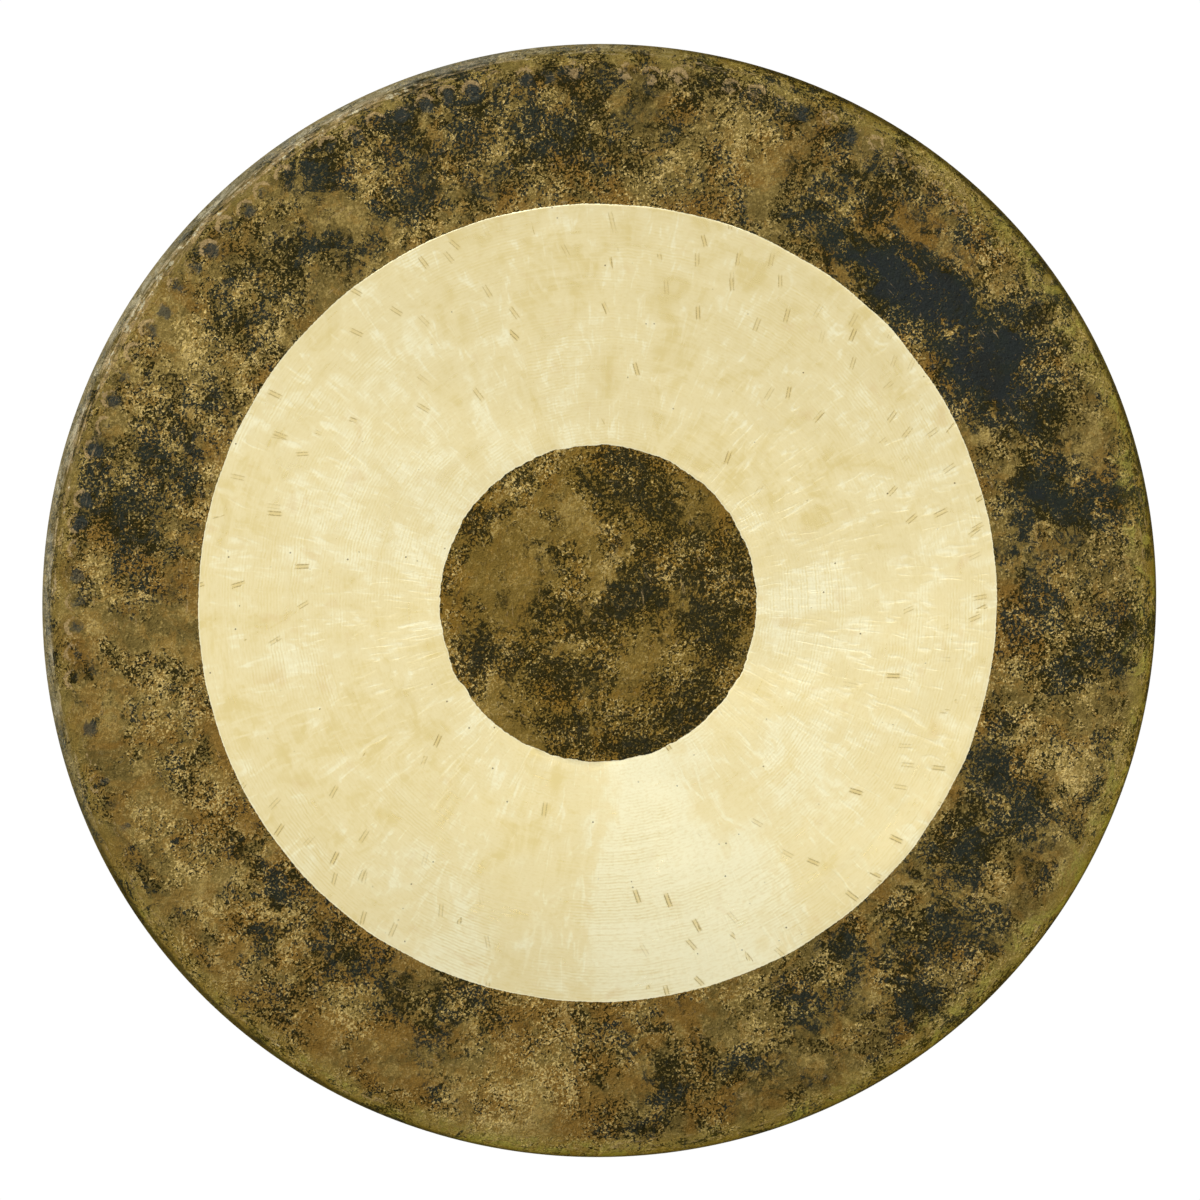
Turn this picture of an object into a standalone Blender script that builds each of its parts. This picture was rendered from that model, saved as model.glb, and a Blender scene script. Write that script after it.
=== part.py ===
"""Chau gong: one sheet of cast and hammered bronze, hung by two cord holes in its turned-back flange.

Metres, +Z up, the face towards -Y, the origin at the centre of the gong's box.
The sheet is turned about its own Z axis with the face up, worked out of true as hand
hammering leaves it, dented and drilled, and then stood up to hang.
"""

import math
import random

import bmesh
import bpy
from mathutils import Matrix, Vector

# Overall shape of the outside
GONG_DIAMETER = 0.813
DOME_RISE = 0.014
SHOULDER_REACH = 0.042
SHOULDER_EASE = 1.5  # above 1 the bend starts slack and tightens towards the flange
FLANGE_LENGTH = 0.024
FLANGE_LEAN = math.radians(3.0)

# Thickness of the sheet
CENTRE_WALL = 0.0021
BAND_WALL = 0.0016
FLANGE_WALL = 0.0018
LIP_WALL = 0.0024

# The bright ring, where a scraper has shaved the cast skin off
DARK_BAND_WIDTH = 0.115
DARK_CENTRE_DIAMETER = 0.231
SHAVE_DEPTH = 0.0003
SHAVE_EDGE = 0.0006

# Cord holes, drilled square through the flange
CORD_HOLE_DIAMETER = 0.010
CORD_HOLE_TO_LIP = 0.014
CORD_HOLE_ANGLE = math.radians(30.0)  # from straight up, one each side

# Peen marks, the row of round hammer dents where the face bends into the shoulder
DENT_ROW_INSET = 0.023
DENT_DIAMETER = 0.0105
DENT_DEPTH = 0.0006
DENT_PITCH = 0.0188
DENT_SCATTER = 0.0024
DENT_SEED = 7

# How far hand hammering leaves the sheet from a true turned form
OUT_OF_ROUND = 0.0017
OVAL_ANGLE = math.radians(40.0)  # the widest way across, from +X towards +Z
FACE_WAVE = 0.0005
WAVES = ((4, 24.0, 0.0), (6, -33.0, 1.3))  # turns to the circle, radians per metre outward, phase

# Fineness of the model
TURN_STEPS = 96
SHOULDER_STEPS = 7
INNER_SHOULDER_STEPS = 5
INNER_FACE_STEPS = 6
HOLE_SIDES = 16
PEEN_SIDES = 8
PEEN_RINGS = 18
ARC_SLICES = 240

GONG_RADIUS = GONG_DIAMETER / 2
FACE_RADIUS = GONG_RADIUS - SHOULDER_REACH
RING_OUTER = GONG_RADIUS - DARK_BAND_WIDTH
RING_INNER = DARK_CENTRE_DIAMETER / 2


def dome_slope(radius):
    """Downward slope of the face, as an angle, this far from the centre."""
    return math.atan(2 * DOME_RISE * radius / FACE_RADIUS**2)


def dome_height(radius):
    return -DOME_RISE * (radius / FACE_RADIUS) ** 2


def shoulder_path():
    """The bend from the face to the flange as (radius, height, slope) at ARC_SLICES + 1 even stations.

    The slope grows with a power of the distance run, which is how a sheet looks when it is
    hammered over in courses: slack at first and tightest where it meets the flange.
    """
    start = dome_slope(FACE_RADIUS)
    turn = math.pi / 2 + FLANGE_LEAN - start
    unit = [(0.0, 0.0, start)]
    for i in range(ARC_SLICES):
        middle = start + turn * ((i + 0.5) / ARC_SLICES) ** SHOULDER_EASE
        end = start + turn * ((i + 1) / ARC_SLICES) ** SHOULDER_EASE
        across, down, _ = unit[-1]
        unit.append((across + math.cos(middle), down - math.sin(middle), end))
    length = SHOULDER_REACH / max(across for across, _, _ in unit)
    edge = dome_height(FACE_RADIUS)
    return [(FACE_RADIUS + length * a, edge + length * d, slope) for a, d, slope in unit]


SHOULDER = shoulder_path()
FLANGE_TOP_RADIUS, FLANGE_TOP_HEIGHT, _ = SHOULDER[-1]
LIP_HEIGHT = FLANGE_TOP_HEIGHT - FLANGE_LENGTH * math.cos(FLANGE_LEAN)
MID_HEIGHT = LIP_HEIGHT / 2  # the face's centre is at height 0 while the profile is drawn


def flange_radius(height):
    return FLANGE_TOP_RADIUS - (FLANGE_TOP_HEIGHT - height) * math.tan(FLANGE_LEAN)


def outside_at(radius):
    """(height, slope) of the unshaved outside at this radius, on the face or on the shoulder."""
    if radius <= FACE_RADIUS:
        return dome_height(radius), dome_slope(radius)
    return min(SHOULDER, key=lambda station: abs(station[0] - radius))[1:]


def blend(share):
    """Smooth step from 0 to 1."""
    share = min(1.0, max(0.0, share))
    return share * share * (3 - 2 * share)


def face_wall(radius):
    """Thickness of the face: thickest in the middle, thinning out to the band past the ring."""
    return CENTRE_WALL + (BAND_WALL - CENTRE_WALL) * blend(radius / RING_OUTER)


def spread(first, last, count):
    """count numbers spaced evenly after first, up to and including last."""
    return [first + (last - first) * (i + 1) / count for i in range(count)]


def outer_profile():
    """(radius, height) down the outside, from the centre of the face to the lip."""
    inner_edge, outer_edge = RING_INNER + SHAVE_EDGE, RING_OUTER - SHAVE_EDGE
    points = [(0.0, 0.0)]
    points += [(r, dome_height(r)) for r in spread(0.0, RING_INNER, 3)]
    points += [(r, dome_height(r) - SHAVE_DEPTH) for r in [inner_edge, *spread(inner_edge, outer_edge, 4)]]
    points += [(r, dome_height(r)) for r in [RING_OUTER, *spread(RING_OUTER, FACE_RADIUS, 2)]]
    points += [SHOULDER[round(i)][:2] for i in spread(0, ARC_SLICES, SHOULDER_STEPS)]
    points += [(flange_radius(h), h) for h in spread(FLANGE_TOP_HEIGHT, LIP_HEIGHT, 2)]
    return points


def inner_profile():
    """(radius, height) up the inside, from the lip to the centre, a sheet's thickness behind the outside."""
    middle = (FLANGE_TOP_HEIGHT + LIP_HEIGHT) / 2
    points = [(flange_radius(LIP_HEIGHT) - LIP_WALL, LIP_HEIGHT)]
    points.append((flange_radius(middle) - FLANGE_WALL, middle))
    for i in reversed(spread(0, ARC_SLICES, INNER_SHOULDER_STEPS)):
        radius, height, slope = SHOULDER[round(i)]
        wall = BAND_WALL + (FLANGE_WALL - BAND_WALL) * i / ARC_SLICES
        points.append((radius - wall * math.sin(slope), height - wall * math.cos(slope)))
    for radius in reversed([0.0, *spread(0.0, FACE_RADIUS, INNER_FACE_STEPS)]):
        wall, slope = face_wall(radius), dome_slope(radius)
        points.append((radius - wall * math.sin(slope), dome_height(radius) - wall * math.cos(slope)))
    return points


def worked(point):
    """Where hand hammering leaves a point of the turned form: a little oval, the face in slow waves.

    The oval and the waves have an even number of turns to the circle, so opposite sides match and
    the origin stays the centre of the box. The waves die out towards the shoulder, so the lip is flat.
    """
    radius, angle = math.hypot(point.x, point.y), math.atan2(point.y, point.x)
    swell = 0.6 * math.cos(2 * (angle - OVAL_ANGLE)) + 0.4 * math.cos(4 * (angle - OVAL_ANGLE))
    stretch = 1 + OUT_OF_ROUND / GONG_RADIUS * swell * (radius / GONG_RADIUS)
    ripple = sum(math.sin(turns * angle + out * radius + phase) for turns, out, phase in WAVES)
    inside_rim = 1 - blend((radius - RING_OUTER) / (FACE_RADIUS - RING_OUTER))
    lift = FACE_WAVE * ripple / len(WAVES) * inside_rim * blend(radius / RING_INNER)
    return Vector((point.x * stretch, point.y * stretch, point.z + lift))


def collection(name, helper=False):
    made = bpy.data.collections.new(name)
    made.hide_render = helper
    bpy.context.scene.collection.children.link(made)
    return made


def metal(name, colour, roughness):
    made = bpy.data.materials.new(name)
    made.use_nodes = True
    shader = made.node_tree.nodes["Principled BSDF"]
    shader.inputs["Base Color"].default_value = (*colour, 1.0)
    shader.inputs["Metallic"].default_value = 1.0
    shader.inputs["Roughness"].default_value = roughness
    made.diffuse_color = (*colour, 1.0)
    return made


def turned_sheet():
    """The closed profile of the sheet, screwed round the axis into a mesh of its own."""
    bm = bmesh.new()
    corners = [bm.verts.new((r, 0.0, h - MID_HEIGHT)) for r, h in outer_profile() + inner_profile()]
    for above, below in zip(corners, corners[1:]):
        bm.edges.new((above, below))
    drawn = bpy.data.meshes.new("gong_profile")
    bm.to_mesh(drawn)
    bm.free()
    turning = bpy.data.objects.new("gong_profile", drawn)
    bpy.context.scene.collection.objects.link(turning)
    screw = turning.modifiers.new("turn", "SCREW")
    screw.steps = screw.render_steps = TURN_STEPS
    screw.use_merge_vertices = True
    screw.merge_threshold = 0.00001
    graph = bpy.context.evaluated_depsgraph_get()
    turned = bpy.data.meshes.new_from_object(turning.evaluated_get(graph))
    bpy.data.objects.remove(turning)
    return turned


def in_shaved_ring(polygon):
    """True of a face of the outside that lies between the two edges of the bright ring."""
    radius = math.hypot(polygon.center.x, polygon.center.y)
    return polygon.normal.z > 0 and RING_INNER < radius < RING_OUTER


def gong_disc(parts):
    mesh = turned_sheet()
    mesh.materials.clear()
    mesh.materials.append(metal("hammered_bronze", (0.13, 0.085, 0.028), 0.5))
    mesh.materials.append(metal("shaved_bronze", (0.84, 0.72, 0.43), 0.3))
    for polygon in mesh.polygons:
        polygon.material_index = int(in_shaved_ring(polygon))
    for vertex in mesh.vertices:
        vertex.co = worked(vertex.co)
    mesh.shade_smooth()
    mesh.set_sharp_from_angle(angle=math.radians(35))
    disc = bpy.data.objects.new("gong_disc", mesh)
    parts.objects.link(disc)
    return disc


def helper_from(name, bm, cutters):
    bmesh.ops.recalc_face_normals(bm, faces=bm.faces)
    mesh = bpy.data.meshes.new(name)
    bm.to_mesh(mesh)
    bm.free()
    made = bpy.data.objects.new(name, mesh)
    made.hide_render = True
    made.display_type = "WIRE"
    cutters.objects.link(made)
    return made


def cord_drill(cutters):
    """A drill through the flange at each cord hole, along the sheet's own radius."""
    bm = bmesh.new()
    height = LIP_HEIGHT + CORD_HOLE_TO_LIP
    place = Matrix.Translation((flange_radius(height), 0.0, height - MID_HEIGHT))
    for side in (-1, 1):
        swing = Matrix.Rotation(math.pi / 2 + side * CORD_HOLE_ANGLE, 4, "Z")
        bmesh.ops.create_cone(
            bm,
            cap_ends=True,
            segments=HOLE_SIDES,
            radius1=CORD_HOLE_DIAMETER / 2,
            radius2=CORD_HOLE_DIAMETER / 2,
            depth=8 * FLANGE_WALL,
            matrix=swing @ place @ Matrix.Rotation(math.pi / 2, 4, "Y"),
        )
    return helper_from("cord_drill", bm, cutters)


def peen_mesh():
    """The round end of a hammer, a slice of the ball that leaves a dent of the stated size."""
    half = DENT_DIAMETER / 2
    ball = (half**2 + DENT_DEPTH**2) / (2 * DENT_DEPTH)
    bm = bmesh.new()
    bmesh.ops.create_uvsphere(bm, u_segments=PEEN_SIDES, v_segments=PEEN_RINGS, radius=ball)
    bmesh.ops.translate(bm, vec=(0.0, 0.0, ball - DENT_DEPTH), verts=bm.verts)
    whole = [*bm.verts, *bm.edges, *bm.faces]
    top = (0.0, 0.0, DENT_DEPTH)
    bmesh.ops.bisect_plane(bm, geom=whole, plane_co=top, plane_no=(0.0, 0.0, 1.0), clear_outer=True)
    bmesh.ops.holes_fill(bm, edges=bm.edges)
    mesh = bpy.data.meshes.new("peen")
    bm.to_mesh(mesh)
    bm.free()
    return mesh


def peening(cutters):
    """The row of hammer marks round the shoulder, each a little off its even place as handwork is."""
    hand = random.Random(DENT_SEED)
    peen = peen_mesh()
    row_radius = GONG_RADIUS - DENT_ROW_INSET
    count = round(2 * math.pi * row_radius / DENT_PITCH)
    bm = bmesh.new()
    for i in range(count):
        angle = 2 * math.pi * i / count + hand.uniform(-0.5, 0.5) * DENT_SCATTER / row_radius
        radius = row_radius + hand.uniform(-1.0, 1.0) * DENT_SCATTER
        height, slope = outside_at(radius)
        turn = Matrix.Rotation(angle, 4, "Z")
        struck = worked(turn @ Vector((radius, 0.0, height - MID_HEIGHT)))
        before = len(bm.verts)
        bm.from_mesh(peen)
        bm.verts.ensure_lookup_table()
        place = Matrix.Translation(struck) @ turn @ Matrix.Rotation(slope, 4, "Y")
        bmesh.ops.transform(bm, matrix=place, verts=bm.verts[before:])
    bpy.data.meshes.remove(peen)
    return helper_from("peening", bm, cutters)


def cut(disc, tool):
    boolean = disc.modifiers.new(tool.name, "BOOLEAN")
    boolean.operation = "DIFFERENCE"
    boolean.use_self = True  # neighbouring hammer marks may run into each other
    boolean.object = tool


def main():
    for old in list(bpy.data.objects):
        bpy.data.objects.remove(old, do_unlink=True)
    parts = collection("chau_gong")
    cutters = collection("cutters", helper=True)
    disc = gong_disc(parts)
    tools = [peening(cutters), cord_drill(cutters)]  # as a smith does it, the holes last
    for tool in tools:
        cut(disc, tool)
    for standing in [disc, *tools]:
        standing.rotation_euler = (math.pi / 2, 0.0, 0.0)


main()
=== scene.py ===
"""Chau gong: the finely hammered sheet with its cast skin, its shaved ring and its stage."""

import math
import random

import bmesh
import bpy
from bpy.props import FloatProperty, FloatVectorProperty, IntProperty, PointerProperty
from mathutils import Matrix, Vector, noise


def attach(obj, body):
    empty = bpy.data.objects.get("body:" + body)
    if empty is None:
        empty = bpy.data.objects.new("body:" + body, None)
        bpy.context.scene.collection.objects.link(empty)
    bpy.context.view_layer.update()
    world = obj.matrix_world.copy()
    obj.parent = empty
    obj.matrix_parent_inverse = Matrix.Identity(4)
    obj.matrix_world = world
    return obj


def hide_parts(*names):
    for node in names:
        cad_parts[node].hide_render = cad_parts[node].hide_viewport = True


bl_info = {
    "name": "Chau Gong",
    "version": (1, 0, 0),
    "blender": (4, 5, 0),
    "location": "View3D > Sidebar > Gong",
    "description": "Models a hammered bronze gong with its cast skin and shaved ring",
    "category": "Add Mesh",
}

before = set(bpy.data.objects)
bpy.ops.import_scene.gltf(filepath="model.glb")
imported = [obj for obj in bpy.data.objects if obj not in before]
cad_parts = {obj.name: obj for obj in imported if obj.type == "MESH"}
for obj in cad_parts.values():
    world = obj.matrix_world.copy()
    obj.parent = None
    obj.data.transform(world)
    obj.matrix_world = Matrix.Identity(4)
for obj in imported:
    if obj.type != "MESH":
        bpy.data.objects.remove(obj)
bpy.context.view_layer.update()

MM = 0.001
DISC_NODE = "gong_disc"

# Stains in the cast skin, as (across, up, reach, strength), in millimetres from the middle of the gong
DARK_STAINS = (
    (196, 246, 36, 1.2),
    (246, 240, 26, 0.5),
    (150, 288, 24, 0.5),
    (226, 218, 44, 1.2),
    (252, 216, 26, 1.1),
    (277, 172, 38, 1.3),
    (300, 138, 28, 1.0),
    (318, 88, 30, 1.0),
    (312, 45, 34, 0.9),
    (322, -5, 26, 0.7),
    (345, 60, 24, 0.7),
    (290, -110, 28, 0.7),
    (300, -148, 34, 0.8),
    (258, -178, 32, 0.7),
    (320, -190, 22, 0.6),
    (270, -232, 30, 0.9),
    (172, -258, 28, 0.7),
    (215, -290, 34, 0.85),
    (145, -298, 24, 0.8),
    (60, -352, 26, 0.45),
    (105, -340, 24, 0.25),
    (-228, 244, 20, 0.45),
    (-196, 262, 22, 0.7),
    (-172, 240, 18, 0.4),
    (-273, 200, 16, 0.6),
    (-290, 152, 18, 0.3),
    (-318, 105, 28, 0.8),
    (-335, 60, 26, 0.5),
    (-145, 335, 24, 0.6),
    (-110, 385, 36, 0.65),
    (-30, 392, 40, 0.5),
    (45, 395, 40, 0.3),
    (-95, 350, 26, 0.6),
    (-40, 325, 30, 0.45),
    (45, 335, 28, 0.5),
    (85, 318, 22, 0.5),
    (-262, -180, 24, 0.5),
    (-235, -208, 18, 0.65),
    (-245, -245, 18, 0.5),
    (-160, -290, 20, 0.8),
    (-120, -345, 22, 0.5),
    (-375, -150, 14, 0.9),
    (-118, -300, 24, 0.4),
    (-60, -325, 20, 0.15),
    (375, 75, 28, 0.9),
    (-215, 318, 30, 0.85),
    (175, 325, 30, 0.35),
    (8, 92, 26, 0.9),
    (40, 72, 22, 0.9),
    (-90, 64, 22, 0.6),
    (-94, -42, 20, 0.9),
    (23, 2, 24, 0.7),
    (74, -10, 26, 0.7),
    (66, -72, 26, 0.8),
    (-20, -95, 18, 0.8),
    (30, -106, 22, 0.8),
    (-1, -40, 8, 0.8),
    (165, 262, 26, 0.6),
    (185, 300, 24, 0.4),
    (298, 200, 28, 0.7),
    (262, 180, 24, 0.5),
    (330, -40, 26, 0.4),
    (-170, -262, 24, 0.5),
    (-205, -262, 20, 0.5),
    (-310, -120, 24, 0.35),
    (-215, 262, 22, 0.45),
    (-150, 290, 22, 0.5),
    (75, 372, 30, 0.4),
    (215, 315, 30, 0.4),
    (315, 212, 30, 0.45),
)

# Golden places in the cast skin, given in the same way
BRIGHT_STAINS = (
    (100, 340, 26, 0.7),
    (120, 305, 22, 0.5),
    (278, 220, 18, 0.4),
    (30, 300, 30, 0.5),
    (75, 352, 24, 0.5),
    (330, -110, 30, 0.5),
    (258, -215, 26, 0.4),
    (-40, -318, 36, 0.5),
    (330, 205, 34, 0.5),
    (350, 140, 24, 0.5),
    (254, 197, 12, 1.2),
    (322, 55, 14, 0.8),
    (318, -60, 30, 0.5),
    (345, -110, 34, 0.5),
    (305, -95, 22, 0.7),
    (190, -272, 28, 0.9),
    (288, -205, 15, 0.9),
    (240, -215, 16, 0.6),
    (262, -262, 12, 0.8),
    (120, -320, 24, 0.6),
    (-75, -378, 56, 1.3),
    (10, -392, 40, 0.5),
    (335, -195, 32, 1.0),
    (-338, 190, 34, 0.8),
    (-330, -60, 50, 0.75),
    (-300, -150, 55, 0.6),
    (-270, -235, 60, 0.7),
    (-190, -300, 50, 0.4),
    (-110, -330, 40, 0.4),
    (-255, 175, 24, 0.7),
    (-230, 215, 20, 0.4),
    (-180, 300, 30, 0.3),
    (-60, 290, 30, 0.4),
    (-15, 25, 24, 0.9),
    (20, -30, 26, 0.7),
    (50, -35, 18, 0.6),
    (-85, 15, 20, 0.5),
    (-70, -70, 28, 0.6),
    (-40, 60, 26, 0.4),
    (85, 45, 20, 0.4),
    (-285, 190, 28, 0.7),
    (-302, 162, 24, 0.5),
    (60, 320, 26, 0.4),
    (85, -325, 26, 0.5),
    (38, -340, 20, 0.4),
    (-275, -200, 26, 0.4),
    (375, -75, 30, 0.6),
    (-60, -360, 42, 0.8),
    (-372, -75, 30, 0.4),
    (-318, 214, 30, 0.5),
)

# Gleams on the shaved ring, a painted highlight where the lamps' reflections fall, as (degrees clockwise from
# the top, half width, strength, factor at the edge)
PAINTED_GLEAMS = (
    (166, 15, 1.3, 1.7),
    (160, 34, 0.6, 1.1),
    (178, 8, 0.5, 1.4),
    (200, 30, 0.12, 5.0),
    (96, 30, 0.35, 0.75),
    (60, 40, 0.1, 3.0),
    (128, 12, 0.35, 0.75),
    (312, 34, 0.5, 0.75),
    (287, 12, 0.4, 0.5),
    (262, 8, 0.35, 0.3),
    (330, 8, 0.3, 0.75),
)

# From one turned line on the shaved ring to the next
TURNED_PITCH = 0.00225

# How far a second reading of the crumbs lies from the first, to find their upper left sides, which get
# painted light while their lower right sides get painted shade
EMBOSS_LIGHT_SHIFT = (-0.0006, 0.0, 0.0006)

# Two nets of scraper cuts over the shaved ring, as (spacing, sideways shift, greatest chance of a cut)
CUT_NETS = ((0.022, 0.31, 0.35), (0.030, 0.87, 0.45))

# Where the camera aims, a hair off the middle of the gong
AIM = Vector((-0.0003, 0.0, 0.0010))

# Soft boxes in front of the gong, as (name, across, up, distance, size, watts)
SOFT_BOXES = (
    ("key_box", -2.2, 2.0, 4.2, 1.4, 9.0),
    ("left_box", -1.6, -0.1, 5.0, 0.9, 2.5),
    ("low_box", 0.15, -1.5, 5.0, 0.9, 15.0),
    ("right_box", 1.5, -1.2, 5.0, 0.7, 5.0),
)


def metres(name, description, default):
    """A length that the user may change."""
    return FloatProperty(name=name, description=description, default=default, unit="LENGTH")


def degrees(name, description, default):
    """An angle that the user may change, given in degrees."""
    return FloatProperty(name=name, description=description, default=math.radians(default), subtype="ANGLE")


def swatch(name, description, default):
    """A colour that the user may change, in linear RGB."""
    return FloatVectorProperty(name=name, description=description, default=default, subtype="COLOR")


class GongSizes(bpy.types.PropertyGroup):
    """Sizes of the hammered sheet, the same as the solid model's."""

    diameter: metres("Diameter", "Across the gong", 0.813)
    dome_rise: metres("Dome", "How far the face swells", 0.014)
    shoulder_reach: metres("Shoulder", "Width of the bend round the face", 0.042)
    shoulder_ease: FloatProperty(
        name="Shoulder ease", description="Above 1 the bend starts slack", default=1.5
    )
    flange_length: metres("Flange", "Depth past the bend", 0.024)
    flange_lean: degrees("Flange lean", "Inward lean of the flange", 3)
    centre_wall: metres("Centre wall", "Sheet in the middle", 0.0021)
    band_wall: metres("Band wall", "Sheet past the ring", 0.0016)
    flange_wall: metres("Flange wall", "Sheet in the flange", 0.0018)
    lip_wall: metres("Lip wall", "Sheet at the lip", 0.0024)
    band_width: metres("Dark band", "Rim to ring", 0.1161)
    centre_diameter: metres("Dark centre", "Across the dark centre", 0.2298)
    shave_depth: metres("Shaving", "Depth of the shaved ring", 0.0003)
    hole_diameter: metres("Cord hole", "Drill size", 0.010)
    hole_to_lip: metres("Hole to lip", "Centre to lip", 0.014)
    hole_angle: degrees("Hole angle", "Each side of the top", 30)
    dent_inset: metres("Dent row inset", "In from the rim", 0.023)
    dent_diameter: metres("Dent", "Across one hammer mark", 0.0125)
    dent_depth: metres("Dent depth", "Depth of a mark", 0.0007)
    dent_pitch: metres("Dent pitch", "Along the row", 0.0188)
    dent_scatter: metres("Dent scatter", "Off the row", 0.0024)
    out_of_round: metres("Out of round", "Hand-made oval", 0.0017)
    face_wave: metres("Face wave", "Slow waves", 0.0005)
    planish: metres("Planishing", "Height of hammer facets", 0.00022)
    turn_steps: IntProperty(name="Steps", description="Steps round the gong", default=320)
    dent_cuts: IntProperty(name="Dent cuts", description="Extra cuts in the dent row", default=3)


class GongColours(bpy.types.PropertyGroup):
    """Colours of the skin and the bare metal."""

    gold: swatch("Gold skin", "Lighter skin", (0.305, 0.217, 0.062))
    pale_gold: swatch("Pale gold", "Bright flecks in the skin", (0.53, 0.395, 0.145))
    brown: swatch("Brown skin", "Darker skin", (0.122, 0.087, 0.024))
    rust: swatch("Rust skin", "Reddish skin", (0.205, 0.108, 0.020))
    olive: swatch("Olive skin", "Skin at the rim", (0.27, 0.205, 0.048))
    copper: swatch("Copper", "Orange flecks", (0.270, 0.160, 0.036))
    amber: swatch("Amber", "Skin in the middle", (0.200, 0.120, 0.016))
    moss: swatch("Moss", "Yellow-green edge", (0.285, 0.250, 0.052))
    soot: swatch("Soot", "Black-green scale", (0.024, 0.0205, 0.0055))
    slate: swatch("Slate", "Green-black scale", (0.025, 0.031, 0.024))
    ink: swatch("Ink", "Blue-black inside a stain", (0.027, 0.032, 0.032))
    wash: swatch("Wash", "Green-brown round the stains", (0.052, 0.046, 0.018))
    dull: swatch("Dull", "Grey in the marks", (0.044, 0.051, 0.044))
    # Tan is also the colour of the painted highlights on the marks' edges and along the crest of the shoulder
    tan: swatch("Tan", "Crust round the marks", (0.44, 0.31, 0.140))
    shaved: swatch("Shaved", "Bare metal", (0.81, 0.70, 0.39))
    honey: swatch("Honey", "Tinted metal", (0.735, 0.605, 0.275))
    tinted: swatch("Tinted", "Brownish smudge", (0.70, 0.52, 0.24))
    smudge: swatch("Smudge", "Round a tool mark", (0.68, 0.53, 0.20))
    # The palest metal, also the colour of the painted gleams, glints and the painted highlight along the
    # ring's cut edges
    silvery_gleam: swatch("Silvery", "Palest metal", (0.88, 0.82, 0.545))
    # A light grey painted reflection along the upper left edge of the shoulder
    edge_reflection: swatch("Bleached", "Worn grey edge", (0.56, 0.53, 0.40))
    cut: swatch("Cut", "Bottom of a tool mark", (0.30, 0.22, 0.085))
    pit: swatch("Pit", "Pinholes", (0.09, 0.06, 0.03))
    grazing: swatch("Grazing", "Tint seen edge on", (0.5, 0.42, 0.25))


class GongStage(bpy.types.PropertyGroup):
    """Camera, floor and light."""

    azimuth: degrees("Azimuth", "Round the gong", -2)
    elevation: degrees("Elevation", "Above level", 1.5)
    distance: metres("Distance", "Camera to gong", 12.0)
    picture_width: metres("Picture", "Width seen at the gong", 0.8733)
    floor_level: metres("Floor", "Height of the floor", -0.62)
    floor_radius: metres("Floor radius", "Size of the floor", 2.2)


class Value:
    """One output of a shader node. Sums written with it become Math nodes."""

    def __init__(self, paint, socket):
        self.paint = paint
        self.socket = socket

    def sum_with(self, operation, first, second):
        return self.paint.node("Math", {"operation": operation}, {0: first, 1: second})

    def __add__(self, other):
        return self.sum_with("ADD", self, other)

    def __radd__(self, other):
        return self.sum_with("ADD", other, self)

    def __sub__(self, other):
        return self.sum_with("SUBTRACT", self, other)

    def __rsub__(self, other):
        return self.sum_with("SUBTRACT", other, self)

    def __mul__(self, other):
        return self.sum_with("MULTIPLY", self, other)

    def __rmul__(self, other):
        return self.sum_with("MULTIPLY", other, self)

    def __truediv__(self, other):
        return self.sum_with("DIVIDE", self, other)

    def __rtruediv__(self, other):
        return self.sum_with("DIVIDE", other, self)

    def __abs__(self):
        return self.sum_with("ABSOLUTE", self, 0.0)


class Paint:
    """A material's node tree, with the few nodes that these finishes need."""

    def __init__(self, tree):
        self.tree = tree
        tree.nodes.clear()

    def node(self, kind, settings=None, inputs=None, output=0):
        made = self.tree.nodes.new("ShaderNode" + kind)
        for key, value in (settings or {}).items():
            setattr(made, key, value)
        for key, value in (inputs or {}).items():
            if isinstance(value, Value):
                self.tree.links.new(value.socket, made.inputs[key])
            else:
                made.inputs[key].default_value = value
        return Value(self, made.outputs[output]) if made.outputs else None

    def attribute(self, name):
        return self.node("Attribute", {"attribute_name": name}, output="Fac")

    def noise(self, place, scale, detail=2.0, roughness=0.5, distortion=0.0):
        inputs = {"Vector": place, "Scale": scale, "Detail": detail}
        inputs.update({"Roughness": roughness, "Distortion": distortion})
        return self.node("TexNoise", inputs=inputs)

    def step(self, value, low, high):
        """0 below low and 1 above high, smooth between them."""
        inputs = {"Value": value, "From Min": low, "From Max": high}
        return self.node("MapRange", {"interpolation_type": "SMOOTHSTEP"}, inputs)

    def mix(self, first, second, share):
        """The first colour with this share of the second over it. Colours are RGB triples or links."""
        inputs = {0: share}
        for key, colour in ((6, first), (7, second)):
            inputs[key] = colour if isinstance(colour, Value) else (*colour, 1.0)
        return self.node("Mix", {"data_type": "RGBA"}, inputs, output=2)

    def vector(self, x, y, z):
        return self.node("CombineXYZ", inputs={0: x, 1: y, 2: z})

    def between(self, first, second):
        """The arrow from the first point to the second."""
        return self.node("VectorMath", {"operation": "SUBTRACT"}, {0: second, 1: first})

    def dot(self, first, second):
        return self.node("VectorMath", {"operation": "DOT_PRODUCT"}, {0: first, 1: second}, output=1)


def blend(share):
    """Smooth step from 0 to 1."""
    share = min(1.0, max(0.0, share))
    return share * share * (3 - 2 * share)


def bump(distance):
    """1 at distance 0, falling smoothly to 0 at distance 1."""
    return (1 - distance * distance) ** 2 if distance < 1 else 0.0


def spread(first, last, count):
    """count numbers spaced evenly after first, up to and including last."""
    return [first + (last - first) * (i + 1) / count for i in range(count)]


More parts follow.
